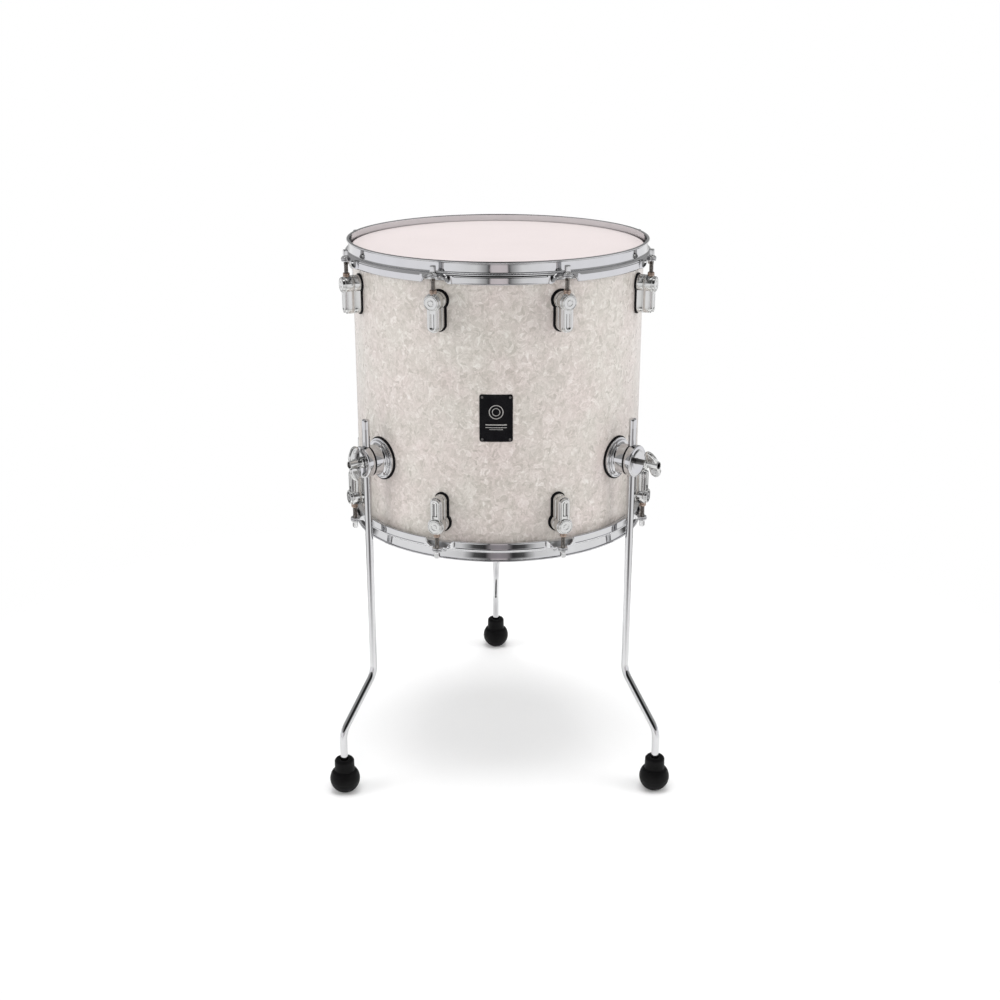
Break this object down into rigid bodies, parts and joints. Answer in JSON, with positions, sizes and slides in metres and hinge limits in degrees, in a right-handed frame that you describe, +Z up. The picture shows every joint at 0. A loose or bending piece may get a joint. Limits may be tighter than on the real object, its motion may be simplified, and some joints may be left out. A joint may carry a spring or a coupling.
{
  "type": "floor tom drum",
  "caption": "Wrapped cylindrical floor tom drum with two tensioned heads, standing on three bent height-adjustable legs with rubber feet.",
  "frame": {"origin": "the point on the floor under the drum's own axis", "axes": "+Z up along the drum's axis, +X to the drum's right as seen from the front, and -Y is the front, the side with the badge"},
  "size_m": [0.491, 0.5337, 0.7696],
  "materials": {
    "maple": "satin",
    "pearl_wrap": "gloss",
    "coated_film": "matte",
    "clear_film": "gloss",
    "chrome": "polished",
    "aluminium": "satin",
    "brass": "satin",
    "plated_steel": "satin",
    "gasket_rubber": "matte",
    "foot_rubber": "matte",
    "black_nylon": "satin",
    "black_enamel": "gloss"
  },
  "bodies": {
    "drum": {"badge_pins": "chrome", "badge_plate": "black_enamel", "batter_head_film": "coated_film", "batter_head_ring": "aluminium", "batter_hoop": "chrome", "batter_lugs": "chrome", "bracket_gasket_left": "gasket_rubber", "bracket_gasket_rear": "gasket_rubber", "bracket_gasket_right": "gasket_rubber", "bracket_screws": "plated_steel", "clamp_eyebolt_left": "chrome", "clamp_eyebolt_rear": "chrome", "clamp_eyebolt_right": "chrome", "clamp_liner_left": "black_nylon", "clamp_liner_rear": "black_nylon", "clamp_liner_right": "black_nylon", "leg_bracket_left": "chrome", "leg_bracket_rear": "chrome", "leg_bracket_right": "chrome", "lug_gaskets": "gasket_rubber", "lug_nuts": "brass", "lug_screws": "plated_steel", "resonant_head_film": "clear_film", "resonant_head_ring": "aluminium", "resonant_hoop": "chrome", "resonant_lugs": "chrome", "screw_washers": "plated_steel", "shell": "maple", "shell_wrap": "pearl_wrap", "tension_rod_washers": "chrome", "vent_grommet": "chrome"},
    "batter_tension_rod_1": {"batter_tension_rod_1": "chrome"},
    "batter_tension_rod_2": {"batter_tension_rod_2": "chrome"},
    "batter_tension_rod_3": {"batter_tension_rod_3": "chrome"},
    "batter_tension_rod_4": {"batter_tension_rod_4": "chrome"},
    "batter_tension_rod_5": {"batter_tension_rod_5": "chrome"},
    "batter_tension_rod_6": {"batter_tension_rod_6": "chrome"},
    "batter_tension_rod_7": {"batter_tension_rod_7": "chrome"},
    "batter_tension_rod_8": {"batter_tension_rod_8": "chrome"},
    "resonant_tension_rod_1": {"resonant_tension_rod_1": "chrome"},
    "resonant_tension_rod_2": {"resonant_tension_rod_2": "chrome"},
    "resonant_tension_rod_3": {"resonant_tension_rod_3": "chrome"},
    "resonant_tension_rod_4": {"resonant_tension_rod_4": "chrome"},
    "resonant_tension_rod_5": {"resonant_tension_rod_5": "chrome"},
    "resonant_tension_rod_6": {"resonant_tension_rod_6": "chrome"},
    "resonant_tension_rod_7": {"resonant_tension_rod_7": "chrome"},
    "resonant_tension_rod_8": {"resonant_tension_rod_8": "chrome"},
    "clamp_cap_left": {"clamp_cap_left": "chrome"},
    "clamp_cap_right": {"clamp_cap_right": "chrome"},
    "clamp_cap_rear": {"clamp_cap_rear": "chrome"},
    "wing_nut_left": {"wing_nut_left": "chrome"},
    "wing_nut_right": {"wing_nut_right": "chrome"},
    "wing_nut_rear": {"wing_nut_rear": "chrome"},
    "leg_rod_left": {"leg_rod_left": "chrome"},
    "leg_rod_right": {"leg_rod_right": "chrome"},
    "leg_rod_rear": {"leg_rod_rear": "chrome"},
    "leg_foot_left": {"leg_foot_left": "foot_rubber"},
    "leg_foot_right": {"leg_foot_right": "foot_rubber"},
    "leg_foot_rear": {"leg_foot_rear": "foot_rubber"}
  },
  "joints": [
    {"name": "batter_tension_rod_1_turn", "type": "hinge", "parent": "drum", "child": "batter_tension_rod_1", "pos_m": [0.08526, -0.20584, 0.7], "axis": [0, 0, 1], "range_deg": [-180, 180]},
    {"name": "batter_tension_rod_2_turn", "type": "hinge", "parent": "drum", "child": "batter_tension_rod_2", "pos_m": [0.20584, -0.08526, 0.7], "axis": [0, 0, 1], "range_deg": [-180, 180]},
    {"name": "batter_tension_rod_3_turn", "type": "hinge", "parent": "drum", "child": "batter_tension_rod_3", "pos_m": [0.20584, 0.08526, 0.7], "axis": [0, 0, 1], "range_deg": [-180, 180]},
    {"name": "batter_tension_rod_4_turn", "type": "hinge", "parent": "drum", "child": "batter_tension_rod_4", "pos_m": [0.08526, 0.20584, 0.7], "axis": [0, 0, 1], "range_deg": [-180, 180]},
    {"name": "batter_tension_rod_5_turn", "type": "hinge", "parent": "drum", "child": "batter_tension_rod_5", "pos_m": [-0.08526, 0.20584, 0.7], "axis": [0, 0, 1], "range_deg": [-180, 180]},
    {"name": "batter_tension_rod_6_turn", "type": "hinge", "parent": "drum", "child": "batter_tension_rod_6", "pos_m": [-0.20584, 0.08526, 0.7], "axis": [0, 0, 1], "range_deg": [-180, 180]},
    {"name": "batter_tension_rod_7_turn", "type": "hinge", "parent": "drum", "child": "batter_tension_rod_7", "pos_m": [-0.20584, -0.08526, 0.7], "axis": [0, 0, 1], "range_deg": [-180, 180]},
    {"name": "batter_tension_rod_8_turn", "type": "hinge", "parent": "drum", "child": "batter_tension_rod_8", "pos_m": [-0.08526, -0.20584, 0.7], "axis": [0, 0, 1], "range_deg": [-180, 180]},
    {"name": "resonant_tension_rod_1_turn", "type": "hinge", "parent": "drum", "child": "resonant_tension_rod_1", "pos_m": [0.08526, -0.20584, 0.43], "axis": [0, 0, -1], "range_deg": [-180, 180]},
    {"name": "resonant_tension_rod_2_turn", "type": "hinge", "parent": "drum", "child": "resonant_tension_rod_2", "pos_m": [0.20584, -0.08526, 0.43], "axis": [0, 0, -1], "range_deg": [-180, 180]},
    {"name": "resonant_tension_rod_3_turn", "type": "hinge", "parent": "drum", "child": "resonant_tension_rod_3", "pos_m": [0.20584, 0.08526, 0.43], "axis": [0, 0, -1], "range_deg": [-180, 180]},
    {"name": "resonant_tension_rod_4_turn", "type": "hinge", "parent": "drum", "child": "resonant_tension_rod_4", "pos_m": [0.08526, 0.20584, 0.43], "axis": [0, 0, -1], "range_deg": [-180, 180]},
    {"name": "resonant_tension_rod_5_turn", "type": "hinge", "parent": "drum", "child": "resonant_tension_rod_5", "pos_m": [-0.08526, 0.20584, 0.43], "axis": [0, 0, -1], "range_deg": [-180, 180]},
    {"name": "resonant_tension_rod_6_turn", "type": "hinge", "parent": "drum", "child": "resonant_tension_rod_6", "pos_m": [-0.20584, 0.08526, 0.43], "axis": [0, 0, -1], "range_deg": [-180, 180]},
    {"name": "resonant_tension_rod_7_turn", "type": "hinge", "parent": "drum", "child": "resonant_tension_rod_7", "pos_m": [-0.20584, -0.08526, 0.43], "axis": [0, 0, -1], "range_deg": [-180, 180]},
    {"name": "resonant_tension_rod_8_turn", "type": "hinge", "parent": "drum", "child": "resonant_tension_rod_8", "pos_m": [-0.08526, -0.20584, 0.43], "axis": [0, 0, -1], "range_deg": [-180, 180]},
    {"name": "clamp_cap_left_slide", "type": "slide", "parent": "drum", "child": "clamp_cap_left", "axis": [-0.796, -0.6053, 0], "range_m": [0, 0.00125]},
    {"name": "wing_nut_left_turn", "type": "hinge", "parent": "clamp_cap_left", "child": "wing_nut_left", "pos_m": [-0.19661, -0.14951, 0.484], "axis": [-0.796, -0.6053, 0], "range_deg": [0, 360]},
    {"name": "leg_rod_left_slide", "type": "slide", "parent": "drum", "child": "leg_rod_left", "axis": [0, 0, 1], "range_m": [-0.035, 0.27]},
    {"name": "leg_foot_left_turn", "type": "hinge", "parent": "leg_rod_left", "child": "leg_foot_left", "pos_m": [-0.22405, -0.18973, 0], "axis": [0, 0, 1], "range_deg": [-180, 180]},
    {"name": "clamp_cap_right_slide", "type": "slide", "parent": "drum", "child": "clamp_cap_right", "axis": [0.796, -0.6053, 0], "range_m": [0, 0.0143]},
    {"name": "wing_nut_right_turn", "type": "hinge", "parent": "drum", "child": "wing_nut_right", "pos_m": [0.20823, -0.15835, 0.484], "axis": [0.796, -0.6053, 0], "range_deg": [-180, 180]},
    {"name": "leg_rod_right_slide", "type": "slide", "parent": "drum", "child": "leg_rod_right", "axis": [0, 0, 1], "range_m": [-0.035, 0.27]},
    {"name": "leg_foot_right_turn", "type": "hinge", "parent": "leg_rod_right", "child": "leg_foot_right", "pos_m": [0.22405, -0.18973, 0], "axis": [0, 0, 1], "range_deg": [-180, 180]},
    {"name": "clamp_cap_rear_slide", "type": "slide", "parent": "drum", "child": "clamp_cap_rear", "axis": [0, 1, 0], "range_m": [0, 0.00125]},
    {"name": "wing_nut_rear_turn", "type": "hinge", "parent": "clamp_cap_rear", "child": "wing_nut_rear", "pos_m": [0, 0.247, 0.484], "axis": [0, 1, 0], "range_deg": [0, 360]},
    {"name": "leg_rod_rear_slide", "type": "slide", "parent": "drum", "child": "leg_rod_rear", "axis": [0, 0, 1], "range_m": [-0.035, 0.27]},
    {"name": "leg_foot_rear_turn", "type": "hinge", "parent": "leg_rod_rear", "child": "leg_foot_rear", "pos_m": [0, 0.295, 0], "axis": [0, 0, 1], "range_deg": [-180, 180]}
  ],
  "couplings": [
    {"joint": "wing_nut_left_turn", "follows": "clamp_cap_left_slide", "rad_per_m": 5026.5},
    {"joint": "wing_nut_rear_turn", "follows": "clamp_cap_rear_slide", "rad_per_m": 5026.5}
  ]
}
